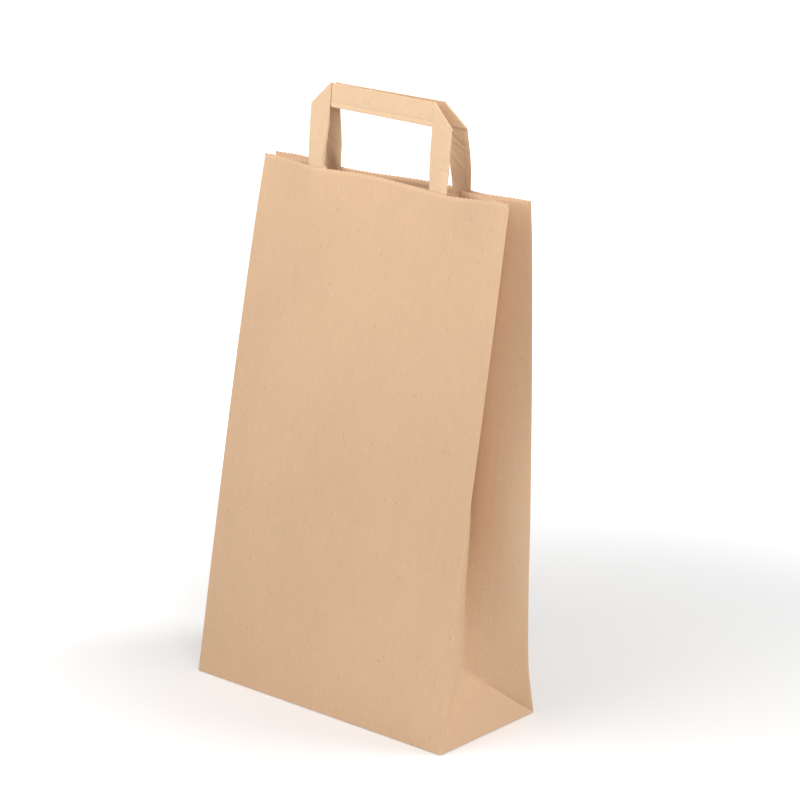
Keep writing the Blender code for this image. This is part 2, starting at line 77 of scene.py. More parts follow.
@dataclass(frozen=True)
class BagSizes:
    """The sizes of the bag, in metres, as its solids have them."""

    paper: float = 0.0002
    clearance: float = 0.0003
    width: float = 0.2215
    depth: float = 0.1105
    height: float = 0.3788
    flap_overlap: float = 0.020
    seam_width: float = 0.014
    seam_margin: float = 0.002
    tooth_pitch: float = 0.003
    tooth_depth: float = 0.001
    apex_height: float = 0.0415
    centre_fold_width: float = 0.0008
    wave_start: float = 0.58
    belly: float = 0.002
    tape_width: float = 0.0168
    tape_thickness: float = 0.0005
    tape_lap: float = 0.00012
    tape_seam: float = 0.24
    handle_span: float = 0.1222
    handle_rise: float = 0.0592
    patch_width: float = 0.156
    patch_height: float = 0.044
    patch_drop: float = 0.006
    patch_margin: float = 0.005
    patch_ramp: float = 0.003

    @property
    def seat(self) -> float:
        """Distance from the panel's outer face to what is glued inside it."""
        return self.paper + self.clearance

    @property
    def fold_radius(self) -> float:
        """Radius of the handle tape's folded corners."""
        return self.tape_thickness / 2 + self.tape_lap + self.clearance / 2

    @property
    def leg_outer(self) -> float:
        """Distance from the handle's middle to a leg's outer edge."""
        return self.handle_span / 2

    @property
    def leg_inner(self) -> float:
        """Distance from the handle's middle to a leg's inner edge."""
        return self.leg_outer - self.tape_width

    @property
    def leg_middle(self) -> float:
        """Distance from the handle's middle to a leg's middle line."""
        return (self.leg_outer + self.leg_inner) / 2

    @property
    def flap_length(self) -> float:
        """Length of each long flap of the base."""
        return (self.depth + self.flap_overlap) / 2

    @property
    def patch_top(self) -> float:
        """Height of the patches' upper edge."""
        return self.height - self.patch_drop

    @property
    def patch_bottom(self) -> float:
        """Height of the patches' lower edge."""
        return self.patch_top - self.patch_height


SIZES = BagSizes()
TIP_RISE = round(SIZES.apex_height / SIZES.height, 4)


def mix(a: float, b: float, share: float) -> float:
    """The value at a share of the way from a to b."""
    return a + (b - a) * share


def ease(share: float) -> float:
    """A share from 0 to 1 that starts and ends gently."""
    share = min(max(share, 0.0), 1.0)
    return share * share * (3 - 2 * share)


@dataclass(frozen=True)
class PlaceCurve:
    """A smooth curve through rows of a place and its values."""

    rows: Table

    def at(self, place: float) -> List[float]:
        """The values at a place.

        Args:
            place: Where on the curve, in the units of each row's first number.

        Returns:
            The values there, one for each number after the place in a row.
        """
        rows = self.rows
        last = len(rows) - 1
        index = 0
        while index < last - 1 and place > rows[index + 1][0]:
            index += 1
        start, end = rows[index], rows[index + 1]
        span = end[0] - start[0]
        before, after = rows[max(index - 1, 0)], rows[min(index + 2, last)]
        t = (place - start[0]) / span
        values = []
        for k in range(1, len(start)):
            slope_in = (end[k] - before[k]) / (end[0] - before[0]) * span
            slope_out = (after[k] - start[k]) / (after[0] - start[0]) * span
            values.append(
                (2 * t**3 - 3 * t**2 + 1) * start[k]
                + (t**3 - 2 * t**2 + t) * slope_in
                + (3 * t**2 - 2 * t**3) * end[k]
                + (t**3 - t**2) * slope_out
            )
        return values


# Rows of the mouth's edge: place across the panel from -1 to 1, and Y
FRONT_MOUTH = PlaceCurve((
    (-1.00, -0.0084), (-0.91, -0.0088), (-0.78, -0.0106), (-0.65, -0.0144), (-0.52, -0.0178),
    (-0.39, -0.0152), (-0.23, -0.0104), (-0.03, -0.0086), (0.14, -0.0114), (0.33, -0.0150),
    (0.49, -0.0186), (0.61, -0.0197), (0.73, -0.0163), (0.84, -0.0114), (0.93, -0.0094),
    (1.00, -0.0092),
))
BACK_MOUTH = PlaceCurve((
    (-1.00, 0.0032), (-0.88, 0.0062), (-0.75, 0.0056), (-0.56, 0.0012), (-0.38, -0.0022),
    (-0.22, -0.0018), (-0.07, 0.0014), (0.05, 0.0050), (0.21, 0.0080), (0.38, 0.0084),
    (0.54, 0.0072), (0.66, 0.0058), (0.76, 0.0074), (0.86, 0.0101), (1.00, 0.0120),
))
# Rows of a gusset: rise, how far in its centre fold lies, that fold's share of the depth, front and back bow
LEFT_GUSSET = PlaceCurve((
    (TIP_RISE, 0.0255, 0.50, 0.0, 0.0), (0.26, 0.0310, 0.50, 0.0030, 0.0030),
    (0.42, 0.0375, 0.51, 0.0036, 0.0036), (0.61, 0.0435, 0.53, 0.0026, 0.0026),
    (0.82, 0.0480, 0.56, 0.0015, 0.0014), (1.00, 0.0500, 0.60, 0.0010, 0.0009),
))
RIGHT_GUSSET = PlaceCurve((
    (TIP_RISE, 0.0255, 0.50, 0.0, 0.0), (0.26, 0.0284, 0.54, 0.0004, 0.0055),
    (0.42, 0.0324, 0.60, 0.0008, 0.0085), (0.61, 0.0430, 0.60, 0.0010, 0.0060),
    (0.82, 0.0500, 0.52, 0.0014, 0.0028), (1.00, 0.0530, 0.42, 0.0016, 0.0016),
))


@dataclass(frozen=True)
class UprightFold:
    """A fold from one corner of the base up to a corner of the mouth."""

    base: Place
    mouth: Place
    sway: PlaceCurve

    def at(self, rise: float) -> Place:
        """The fold's place along X and Y at a share of the height."""
        drift_x, drift_y = self.sway.at(min(rise, 1.0))
        return (
            mix(self.base[0], self.mouth[0], rise) + drift_x,
            mix(self.base[1], self.mouth[1], rise) + drift_y,
        )


def upright_fold(side: Side, towards: int, inset: float, mouth_y: float, sway: Table) -> UprightFold:
    """An upright fold of the bag.

    Args:
        side: Which end of the bag it stands at.
        towards: -1 by the front panel, 1 by the back panel.
        inset: How far in from the base's corner the mouth's corner stands.
        mouth_y: The mouth's corner along Y.
        sway: Rows of rise and the fold's drift from a straight line, along X and Y.

    Returns:
        The fold.
    """
    base = (side.value * SIZES.width / 2, towards * SIZES.depth / 2)
    return UprightFold(base, (side.value * (SIZES.width / 2 - inset), mouth_y), PlaceCurve(sway))


FRONT_LEFT = upright_fold(Side.LEFT, -1, 0.0042, -0.0084, (
    (0.0, 0.0, 0.0), (0.25, 0.0, -0.0020), (0.60, 0.0, -0.0034), (0.86, 0.0, -0.0022), (1.0, 0.0, 0.0),
))
FRONT_RIGHT = upright_fold(Side.RIGHT, -1, 0.0050, -0.0092, (
    (0.0, 0.0, 0.0), (0.12, -0.0008, 0.0), (0.29, -0.0020, 0.0), (0.50, -0.0007, 0.0),
    (0.75, 0.0, 0.0), (1.0, 0.0, 0.0),
))
BACK_RIGHT = upright_fold(Side.RIGHT, 1, 0.0026, 0.0120, (
    (0.0, 0.0, 0.0), (0.045, -0.0011, -0.0016), (0.10, -0.0021, -0.0030), (0.25, -0.0018, -0.0027),
    (0.40, -0.0009, -0.0014), (0.65, 0.0, 0.0), (0.90, 0.0004, 0.0005), (1.0, 0.0, 0.0),
))
BACK_LEFT = upright_fold(Side.LEFT, 1, 0.0036, 0.0032, (
    (0.0, 0.0, 0.0), (0.10, 0.0016, -0.0020), (0.30, 0.0012, -0.0018), (0.60, 0.0, 0.0), (1.0, 0.0, 0.0),
))


@dataclass(frozen=True)
class Cockle:
    """The soft unevenness of a sheet that has been folded and packed flat, calm beside its folds."""

    seed: float
    depth: float = 0.00032
    fine_share: float = 0.35
    broad_scale: Place = (20.0, 6.5)
    fine_scale: Place = (54.0, 20.15)
    fold_calm: float = 9.0
    foot_calm: float = 0.030

    def at(self, across: float, x: float, z: float) -> float:
        """How far the sheet stands out at a place, in metres.

        Args:
            across: From -1 at the left fold to 1 at the right fold.
            x: The place along the width.
            z: Its height.

        Returns:
            The distance outward.
        """
        broad = noise.noise(Vector((x * self.broad_scale[0], z * self.broad_scale[1], self.seed)))
        fine = noise.noise(Vector((x * self.fine_scale[0], z * self.fine_scale[1], self.seed + 9)))
        calm = ease((1 - abs(across)) * self.fold_calm) * ease(z / self.foot_calm)
        return self.depth * (broad + self.fine_share * fine) * calm


@dataclass(frozen=True)
class Panel:
    """A main panel, front or back, with the place and lean of the handle that is glued inside it."""

    outward: int
    left: UprightFold
    right: UprightFold
    mouth: PlaceCurve
    handle_shift: float
    lean: float
    curl: float
    untwist: float
    cockle: Cockle

    def point(self, across: float, rise: float) -> Vector:
        """A point of the panel's outer face.

        Args:
            across: From -1 at the left fold to 1 at the right fold.
            rise: From 0 at the base to 1 at the mouth.

        Returns:
            The point, in metres.
        """
        share = (across + 1) / 2
        left, right = self.left.at(rise), self.right.at(rise)
        ends = self.mouth.rows
        wave = self.mouth.at(across)[0] - mix(ends[0][1], ends[-1][1], share)
        fade = max(rise - SIZES.wave_start, 0.0) / (1 - SIZES.wave_start)
        belly = SIZES.belly * math.sin(math.pi * min(rise, 1.0)) * (1 - across**2)
        x, z = mix(left[0], right[0], share), SIZES.height * rise
        proud = belly + self.cockle.at(across, x, z)
        return Vector((x, mix(left[1], right[1], share) + wave * fade**2 + self.outward * proud, z))

    def face_y(self, x: float, z: float) -> float:
        """Where the outer face lies along Y at a place."""
        rise = z / SIZES.height
        left, right = self.left.at(rise), self.right.at(rise)
        across = 2 * (x - left[0]) / (right[0] - left[0]) - 1
        return self.point(across, rise).y

    def handle_y(self, x: float, z: float, inset: float) -> float:
        """The middle of the handle's tape: on the panel below the mouth, on a leaning plane above.

        Args:
            x: Place along the width.
            z: Height.
            inset: Distance inward from the panel's outer face.

        Returns:
            The tape's place along Y.
        """
        inward = -self.outward
        if z <= SIZES.height:
            return self.face_y(x, z) + inward * inset
        above = z - SIZES.height
        left_y = self.face_y(self.handle_shift - SIZES.leg_middle, SIZES.height)
        right_y = self.face_y(self.handle_shift + SIZES.leg_middle, SIZES.height)
        slope = (right_y - left_y) / (2 * SIZES.leg_middle)
        slope *= mix(1.0, self.untwist, ease(above / SIZES.handle_rise))
        plane = (left_y + right_y) / 2 + slope * (x - self.handle_shift)
        settle = ease(above / SIZES.tape_width)
        start = self.face_y(x, SIZES.height) if settle < 1 else plane
        y = mix(start, plane, settle)
        return y + inward * (inset + self.lean * above + self.curl * above**2)


FRONT = Panel(-1, FRONT_LEFT, FRONT_RIGHT, FRONT_MOUTH, handle_shift=0.0, lean=0.02, curl=0.0,
              untwist=1.0, cockle=Cockle(3.0))
BACK = Panel(1, BACK_LEFT, BACK_RIGHT, BACK_MOUTH, handle_shift=0.0015, lean=0.143, curl=0.94,
             untwist=0.5, cockle=Cockle(17.0))


@dataclass
class Sheet:
    """A mesh in the making: points with their wear and painted fold highlight, their tone with its painted
    seam shadow, and plies, faces, and the creased edges.
    """

    points: List[Vector] = field(default_factory=list)
    wear_and_highlight: List[float] = field(default_factory=list)
    tone: List[float] = field(default_factory=list)
    plies: List[float] = field(default_factory=list)
    faces: List[Tuple[int, ...]] = field(default_factory=list)
    creases: List[Tuple[int, int]] = field(default_factory=list)

    def add(self, point: Vector, wear_and_highlight: float = 0.0, plies: Ply = Ply.SINGLE, tone: float = 1.0) -> int:
        """Adds a point and returns its number."""
        self.points.append(point)
        self.wear_and_highlight.append(wear_and_highlight)
        self.tone.append(tone)
        self.plies.append(plies.value)
        return len(self.points) - 1

    def make(self, name: str, thickness: float = 0.0) -> bpy.types.Object:
        """The finished piece.

        Args:
            name: The piece's name.
            thickness: The paper's thickness, added inward, or 0 for a closed shape.

        Returns:
            The object, linked to the scene.
        """
        mesh = bpy.data.meshes.new(name)
        mesh.from_pydata([tuple(point) for point in self.points], [], self.faces)
        mesh.update()
        mesh.shade_smooth()
        # The fold attribute makes folds paler, partly wear and partly a painted highlight; the tone holds a
        # painted shadow line at the tape's lap edge.
        for label, values in (("fold_wear_and_highlight", self.wear_and_highlight), ("tone_with_seam_shadow", self.tone)):
            mesh.attributes.new(label, "FLOAT", "POINT").data.foreach_set("value", values)
        if self.creases:
            wanted = {tuple(sorted(edge)) for edge in self.creases}
            for edge in mesh.edges:
                if tuple(sorted(edge.vertices)) in wanted:
                    edge.use_edge_sharp = True
        piece = bpy.data.objects.new(name, mesh)
        bpy.context.scene.collection.objects.link(piece)
        if thickness:
            group = piece.vertex_groups.new(name="plies")
            for value in sorted(set(self.plies)):
                group.add([k for k, ply in enumerate(self.plies) if ply == value], value, "REPLACE")
            solid = piece.modifiers.new("paper", "SOLIDIFY")
            solid.thickness = thickness / Ply.SINGLE.value
            solid.offset = -1
            solid.use_even_offset = True
            solid.use_rim = True
            solid.vertex_group = "plies"
        return piece


@dataclass(frozen=True)
class KraftFinish:
    """Unbleached kraft paper: its tone, clouds, streaks and fibres, and the pale wear and painted highlight
    along its folds.

    Attributes:
        name: The material's name.
        slot: The record's material slot for it.
        colour: The sheet's own colour.
        cloud, streak, grain: How far each pattern takes the tone up and down.
        fibre, shive, wear_and_highlight: How strongly each mark's tint covers the sheet's; the last is the
            folds' wear with its painted highlight.
        relief: The height of the bumps, in metres.
        offset: Where in the pattern this sheet is cut from, in metres.
        fibre_runs: Rows of a layer's angle, its shift and its scale along the run.
        cloud_scale, formation_scale and the others: Marks for each metre.
        fibre_shift: From a pale fibre to the dark one beside it, in metres.
        dark_share, shive_share, wear_and_highlight_share: Each mark's tint as a share of the sheet's colour.
    """

    name: str
    slot: str
    colour: Colour
    cloud: float = 0.028
    streak: float = 0.016
    grain: float = 0.022
    fibre: float = 0.105
    shive: float = 0.22
    wear_and_highlight: float = 0.48
    roughness: float = 0.80
    specular: float = 0.30
    relief: float = 0.00012
    offset: float = 0.0
    fibre_runs: Table = ((0.10, 1.7, 230), (-0.42, 5.1, 300), (0.75, 8.3, 340))
    cloud_scale: Triple = (13, 13, 8)
    formation_scale: float = 120
    streak_scale: Triple = (330, 330, 9)
    grain_scale: Triple = (1100, 1100, 620)
    shive_scale: Triple = (430, 430, 240)
    wear_scale: float = 420
    fibre_scale: float = 760
    fibre_shift: Triple = (0.0011, 0.0011, -0.0009)
    pale_fibre: Colour = (0.93, 0.80, 0.62)
    dark_share: float = 0.50
    shive_share: float = 0.52
    wear_and_highlight_share: float = 1.18

    def tint(self, factor: float) -> Tuple[float, float, float, float]:
        """The paper's colour made paler or darker by a factor."""
        return (*(min(channel * factor, 1.0) for channel in self.colour), 1.0)

    def fibres(self, graph: "Graph", place: Socket) -> Socket:
        """Short raised fibres that lie mostly along the web's run, from 0 to 1."""
        found = None
        for angle, shift, length in self.fibre_runs:
            scale = (self.fibre_scale, self.fibre_scale, length)
            strand = graph.noise(graph.stretch(graph.turn(place, angle, shift), scale), 1.0, 0.6)
            strand = graph.ramp(strand, 0.70, 0.80)
            found = strand if found is None else graph.largest(found, strand)
        return found

    def make(self) -> bpy.types.Material:
        """The material, with its colour, roughness and relief from nodes."""
        material = bpy.data.materials.new(self.name)
        material.use_nodes = True
        graph = Graph(material.node_tree)
        shader = material.node_tree.nodes["Principled BSDF"]
        shader.inputs["Specular IOR Level"].default_value = self.specular
        place = graph.place(self.offset)
        broad = graph.noise(graph.stretch(place, self.cloud_scale), 1.0, 2.0)
        formation = graph.noise(place, self.formation_scale, 4.0)
        streaks = graph.noise(graph.stretch(place, self.streak_scale), 1.0, 3.0)
        grain = graph.noise(graph.stretch(place, self.grain_scale), 1.0, 2.0)
        tone = graph.mix_colour(graph.ramp(broad, 0.28, 0.72), self.tint(1 - self.cloud),
                                self.tint(1 + self.cloud))
        for pattern, depth in ((formation, self.cloud * 0.7), (streaks, self.streak), (grain, self.grain)):
            tone = graph.shade(tone, graph.span(pattern, 1 - depth, 1 + depth))
        lit = self.fibres(graph, place)
        dim = self.fibres(graph, graph.move(place, self.fibre_shift))
        tone = graph.mix_colour(graph.times(dim, self.fibre), tone, self.tint(self.dark_share))
        tone = graph.mix_colour(graph.times(lit, self.fibre * 1.4), tone, (*self.pale_fibre, 1.0))
        shives = graph.noise(graph.stretch(graph.turn(place, 0.3, 12.9), self.shive_scale), 1.0, 0.0)
        shives = graph.ramp(shives, 0.775, 0.83)
        tone = graph.mix_colour(graph.times(shives, self.shive), tone, self.tint(self.shive_share))
        # Paler along folds, broken by noise: real wear with a painted highlight along the folds.
        fold = graph.attribute("fold_wear_and_highlight")
        broken_wear_and_highlight = graph.times(fold, graph.ramp(graph.noise(place, self.wear_scale, 3.0), 0.22, 0.60))
        tone = graph.mix_colour(graph.times(broken_wear_and_highlight, self.wear_and_highlight), tone, self.tint(self.wear_and_highlight_share))
        # The mesh's tone, with a painted shadow line along the tape's lap edge.
        tone = graph.shade(tone, graph.attribute("tone_with_seam_shadow"))
        graph.link(tone, shader.inputs["Base Color"])
        graph.link(graph.span(formation, self.roughness - 0.06, self.roughness + 0.07),
                   shader.inputs["Roughness"])
        height = graph.times(grain, 0.5)
        for pattern, share in ((lit, 0.5), (formation, 0.8), (streaks, 0.4)):
            height = graph.sum(height, graph.times(pattern, share))
        graph.link(graph.bump(height, 0.55, self.relief), shader.inputs["Normal"])
        return material


@dataclass
class Graph:
    """A short way to lay out a material's nodes."""

    tree: bpy.types.NodeTree

    def link(self, start: Socket, end: Socket) -> None:
        """Joins two sockets."""
        self.tree.links.new(start, end)

    def add(self, kind: str, output: Name, inputs: Dict[Name, Union[Value, Tint, Triple]],
            **settings: str) -> Socket:
        """Adds a node.

        Args:
            kind: The node's type.
            output: Name or number of the output that is used.
            inputs: A socket or a plain value for each input that is used.
            settings: The node's own options.

        Returns:
            The output's socket.
        """
        node = self.tree.nodes.new(kind)
        for name, value in settings.items():
            setattr(node, name, value)
        for name, value in inputs.items():
            if isinstance(value, Socket):
                self.link(value, node.inputs[name])
            else:
                node.inputs[name].default_value = value
        return node.outputs[output]

    def place(self, offset: float) -> Socket:
        """The surface's own coordinates, in metres, moved so that no two papers match."""
        own = self.add("ShaderNodeTexCoord", "Object", {})
        return self.move(own, (offset, offset * 0.7, offset * 0.4))

    def stretch(self, vector: Socket, scale: Triple) -> Socket:
        """Coordinates with their own scale along each axis."""
        return self.add("ShaderNodeMapping", "Vector", {"Vector": vector, "Scale": scale})

    def turn(self, vector: Socket, angle: float, shift: float) -> Socket:
        """Coordinates turned in the panel's plane and moved."""
        turned = {"Vector": vector, "Rotation": (angle * 0.5, angle, 0.0), "Location": (shift, shift, shift)}
        return self.add("ShaderNodeMapping", "Vector", turned)

    def move(self, vector: Socket, shift: Triple) -> Socket:
        """Coordinates moved by a step."""
        return self.add("ShaderNodeMapping", "Vector", {"Vector": vector, "Location": shift})

    def noise(self, vector: Socket, scale: float, detail: float) -> Socket:
        """Noise from 0 to 1 at a scale."""
        return self.add("ShaderNodeTexNoise", "Fac", {"Vector": vector, "Scale": scale, "Detail": detail})

    def ramp(self, value: Socket, low: float, high: float) -> Socket:
        """0 below low, 1 above high and smooth between."""
        return self.ranged(value, (low, high), (0.0, 1.0), "SMOOTHSTEP")

    def span(self, value: Socket, low: float, high: float) -> Socket:
        """Noise spread from low to high."""
        return self.ranged(value, (0.25, 0.75), (low, high), "LINEAR")

    def ranged(self, value: Socket, old: Place, new: Place, way: str) -> Socket:
        """A value moved from its old range to a new one, in the way that is named."""
        ends = {"From Min": old[0], "From Max": old[1], "To Min": new[0], "To Max": new[1]}
        return self.add("ShaderNodeMapRange", "Result", {"Value": value, **ends}, interpolation_type=way)

    def calculate(self, way: str, first: Socket, second: Value) -> Socket:
        """One step of arithmetic on a socket and a socket or number."""
        return self.add("ShaderNodeMath", 0, {0: first, 1: second}, operation=way)

    def times(self, first: Socket, second: Value) -> Socket:
        """The product, kept from 0 to 1."""
        result = self.calculate("MULTIPLY", first, second)
        result.node.use_clamp = True
        return result

    def sum(self, first: Socket, second: Value) -> Socket:
        """The sum of two values."""
        return self.calculate("ADD", first, second)

    def largest(self, first: Socket, second: Value) -> Socket:
        """The larger of two values."""
        return self.calculate("MAXIMUM", first, second)

    def attribute(self, name: str) -> Socket:
        """A value that the mesh holds at each point."""
        return self.add("ShaderNodeAttribute", "Fac", {}, attribute_name=name)

    def seen(self) -> Socket:
        """1 for what the camera sees, straight, in a reflection or through glass, and else 0."""
        rays = self.tree.nodes.new("ShaderNodeLightPath").outputs
        return self.sum(rays["Is Camera Ray"], self.sum(rays["Is Glossy Ray"], rays["Is Transmission Ray"]))

    def mix_colour(self, share: Socket, first: Tint, second: Tint) -> Socket:
        """A mix of two colours, each a socket or a colour."""
        return self.add("ShaderNodeMix", 2, {0: share, 6: first, 7: second}, data_type="RGBA")

    def shade(self, colour: Socket, factor: Socket) -> Socket:
        """A colour made paler or darker by a factor."""
        return self.add("ShaderNodeVectorMath", 0, {0: colour, "Scale": factor}, operation="SCALE")

    def bump(self, height: Socket, strength: float, distance: float) -> Socket:
        """A normal from a height."""
        raised = {"Strength": strength, "Distance": distance, "Height": height}
        return self.add("ShaderNodeBump", "Normal", raised)


@dataclass
class BagBody:
    """The bag's one folded sheet: panels, gussets with their base triangles, toothed mouth and base."""

    half_cells: int = 18
    wall_rows: int = 112
    near_fold: float = 0.0008
    pinch: Place = (0.0002, 0.0007)
    pinch_onset: float = 5.0
    pinch_fade: Place = (0.15, 0.6)
    crisp_front: float = 0.30
    crisp_back: float = 0.62
    soft_rows: int = 12
    bow_rise: float = 0.04
    gusset_cockle: float = 0.00045
    cockle_scale: Triple = (2.3, 40, 17)
    crease_wear: float = 0.6
    # Paler centre folds and seam edge: wear with a painted highlight.
    fold_wear_and_highlight: float = 0.5
    mouth_wear: float = 0.45
    flap_wear: float = 0.3
    least_tooth: float = 0.4
    tooth_uneven: float = 0.26
    tooth_scale: float = 260
    flap_fullness: float = 0.9
    name: str = "kraft_bag_body"

    def heights(self) -> List[float]:
        """Heights of the sheet's rows, from the base to the foot of the mouth's teeth."""
        triangle = [SIZES.apex_height * k / self.half_cells for k in range(self.half_cells + 1)]
        triangle[0] = 2 * SIZES.paper
        top = SIZES.height - SIZES.tooth_depth
        return triangle + [mix(SIZES.apex_height, top, k / self.wall_rows)
                           for k in range(1, self.wall_rows + 1)]

    def panel_shares(self, panel: Panel) -> List[float]:
        """Shares of a panel's width at which it is divided, close together beside its folds."""
        cells = round(SIZES.width / SIZES.tooth_pitch)
        beside = self.near_fold / (SIZES.width / 2)
        shares = [-1 + 2 * k / cells for k in range(cells + 1)]
        shares += [-1 + beside, 1 - beside]
        if panel.outward > 0:
            shares += self.seam_shares()
        return sorted(shares)

    def seam_shares(self) -> List[float]:
        """Both sides of the lapped seam's two edges, as shares of the back panel's width."""
        half = BACK.right.mouth[0]
        centre = (BACK.right.mouth[0] + BACK.left.mouth[0]) / 2
        width = (BACK.right.mouth[0] - BACK.left.mouth[0]) / 2
        right = (BACK.handle_shift - SIZES.patch_width / 2 - centre) / width - SIZES.seam_margin / half
        left = right - SIZES.seam_width / half
        step = SIZES.paper / half
        return [left - step, left, right, right + step]

    def gusset_row(self, side: Side, first: UprightFold, last: UprightFold, row: int, z: float) -> WearAndHighlightPoints:
        """One row of a gusset, from its first upright fold to its last.

        Args:
            side: Which end of the bag.
            first: The fold that the row starts at.
            last: The fold that it ends at.
            row: The row's number from the base.
            z: The row's height.

        Returns:
            Points with their wear and painted fold highlight.
        """
        rise = z / SIZES.height
        curve = LEFT_GUSSET if side is Side.LEFT else RIGHT_GUSSET
        inset, share, bow_front, bow_back = curve.at(min(max(rise, TIP_RISE), 1.0))
        low = row < self.half_cells
        middle_rise = SIZES.apex_height / SIZES.height if low else rise
        front, back = (first, last) if side is Side.RIGHT else (last, first)
        bows = (bow_front, bow_back) if side is Side.RIGHT else (bow_back, bow_front)
        fold_x = side.value * (SIZES.width / 2 - inset)
        fold_y = mix(front.at(middle_rise)[1], back.at(middle_rise)[1], share)
        gap = SIZES.centre_fold_width / 2 * side.value
        halves = []
        for fold, shift, bow in ((first, -gap, bows[0]), (last, gap, bows[1])):
            middle = (fold_x, fold_y + shift)
            if low:
                halves.append(self.low_half(side, fold, middle, row, z))
            else:
                halves.append(self.wall_half(side, fold.at(rise), middle, bow, z))
        return halves[0] + list(reversed(halves[1]))

    def low_half(self, side: Side, fold: UprightFold, tip: Place, row: int, z: float) -> WearAndHighlightPoints:
        """Half a row below the triangle's tip: a sliver of the wall and then the flat triangle.

        Each row has one column fewer in the triangle than the row below.

        Args:
            side: Which end of the bag.
            fold: The upright fold beside it.
            tip: The triangle's tip along X and Y.
            row: The row's number from the base.
            z: The row's height.

        Returns:
            Points with their wear, from the upright fold to the gusset's middle.
        """
        edge = fold.at(z / SIZES.height)
        climbed, inside = row / self.half_cells, self.half_cells - row
        crease = (mix(fold.base[0], tip[0], climbed), mix(fold.base[1], tip[1], climbed))
        centre_x = mix(side.value * SIZES.width / 2, tip[0], climbed)
        depth = self.pinch[0 if fold.base[1] < 0 else 1]
        fade = (climbed - self.pinch_fade[0]) / self.pinch_fade[1]
        sunk = depth * ease(climbed * self.pinch_onset) * (1 - ease(fade))
        half = []
        for k in range(row):
            t = k / row
            half.append((Vector((mix(edge[0], crease[0], t), mix(edge[1], crease[1], t), z)), 0.0))
        for k in range(inside + 1):
            t = k / inside
            point = Vector((mix(crease[0], centre_x, t), mix(crease[1], tip[1], t), z))
            if k == 0:
                point.x -= side.value * sunk
            half.append((point, self.crease_wear * (1 - climbed) if k == 0 else 0.0))
        return half

    def wall_half(self, side: Side, edge: Place, middle: Place, bow: float, z: float) -> WearAndHighlightPoints:
        """Half a row above the triangle: a bowed line from an upright fold to the centre fold.

        Args:
            side: Which end of the bag.
            edge: The upright fold along X and Y.
            middle: The centre fold along X and Y.
            bow: How far the paper bows outward between them.
            z: The row's height.

        Returns:
            Points with their wear and the painted highlight at the centre fold, from the upright fold to the
            centre fold.
        """
        along = Vector((middle[0] - edge[0], middle[1] - edge[1]))
        out = Vector((along.y, -along.x)).normalized()
        if out.x * side.value < 0:
            out = -out
        level = ease((z - SIZES.apex_height) / self.bow_rise)
        along_scale, edge_scale, up_scale = self.cockle_scale
        half = []
        for k in range(self.half_cells + 1):
            t = k / self.half_cells
            spot = (t * along_scale + edge[1] * edge_scale, z * up_scale, 3.3 * side.value)
            uneven = noise.noise(Vector(spot))
            push = (bow + self.gusset_cockle * uneven * level) * 4 * t * (1 - t)
            point = Vector((edge[0] + along.x * t + out.x * push, edge[1] + along.y * t + out.y * push, z))
            half.append((point, self.fold_wear_and_highlight if k == self.half_cells else 0.0))
        return half

    def ring(self, row: int, z: float) -> List[Tuple[Vector, float, Ply]]:
        """One row round the bag, anticlockwise from the front left fold."""
        rise = z / SIZES.height
        found: List[Tuple[Vector, float, Ply]] = []
        # The upright folds are paler: wear with a painted highlight.
        for across in self.panel_shares(FRONT):
            found.append((FRONT.point(across, rise), 1.0 if abs(across) == 1.0 else 0.0, Ply.SINGLE))
        for point, wear_and_highlight in self.gusset_row(Side.RIGHT, FRONT_RIGHT, BACK_RIGHT, row, z)[1:-1]:
            found.append((point, wear_and_highlight, Ply.SINGLE))
        seam = self.seam_shares()
        for across in reversed(self.panel_shares(BACK)):
            point = BACK.point(across, rise)
            lapped = seam[1] - TINY <= across <= seam[2] + TINY
            if across < seam[1] - TINY:
                point.y -= SIZES.paper * ease((across + 1) * 12)
            # Upright folds and the seam's edge are paler: wear with a painted highlight.
            wear_and_highlight = self.fold_wear_and_highlight if abs(across - seam[1]) < TINY else 0.0
            wear_and_highlight = 1.0 if abs(across) == 1.0 else wear_and_highlight
            found.append((point, wear_and_highlight, Ply.LAPPED if lapped else Ply.SINGLE))
        for point, wear_and_highlight in self.gusset_row(Side.LEFT, BACK_LEFT, FRONT_LEFT, row, z)[1:-1]:
            found.append((point, wear_and_highlight, Ply.SINGLE))
        return found

    def walls(self) -> Sheet:
        """The walls and their teeth as an open sheet, closed at the base."""
        sheet = Sheet()
        rings: List[List[int]] = []
        for row, z in enumerate(self.heights()):
            rings.append([sheet.add(*entry) for entry in self.ring(row, z)])
        around = len(rings[0])
        right_start = len(self.panel_shares(FRONT)) - 1
        gusset_cells = 2 * self.half_cells + 1
        back_start = right_start + gusset_cells
        left_start = around - gusset_cells
        folds = (0, right_start, back_start, left_start)
        starts = (right_start, left_start)
        centres = {start + self.half_cells + step for start in starts for step in (0, 1)}
        for row, (lower, upper) in enumerate(zip(rings, rings[1:])):
            for j in range(around):
                k = (j + 1) % around
                a, b, c, d = lower[j], lower[k], upper[k], upper[j]
                crossed = self.crease_side(row, j, starts)
                by_back = back_start - self.half_cells <= j < left_start + self.half_cells
                pressed = row < self.half_cells * (self.crisp_back if by_back else self.crisp_front)
                if crossed > 0:
                    sheet.faces += [(a, b, d), (b, c, d)]
                    sheet.creases += [(b, d)] if pressed else []
                elif crossed < 0:
                    sheet.faces += [(a, b, c), (a, c, d)]
                    sheet.creases += [(a, c)] if pressed else []
                else:
                    sheet.faces.append((a, b, c, d))
                if j in folds or (j in centres and row >= self.half_cells + self.soft_rows):
                    sheet.creases.append((a, d))
                if row == 0:
                    sheet.creases.append((a, b))
        sheet.faces.append(tuple(reversed(rings[0])))
        self.add_teeth(sheet, rings[-1])
        return sheet

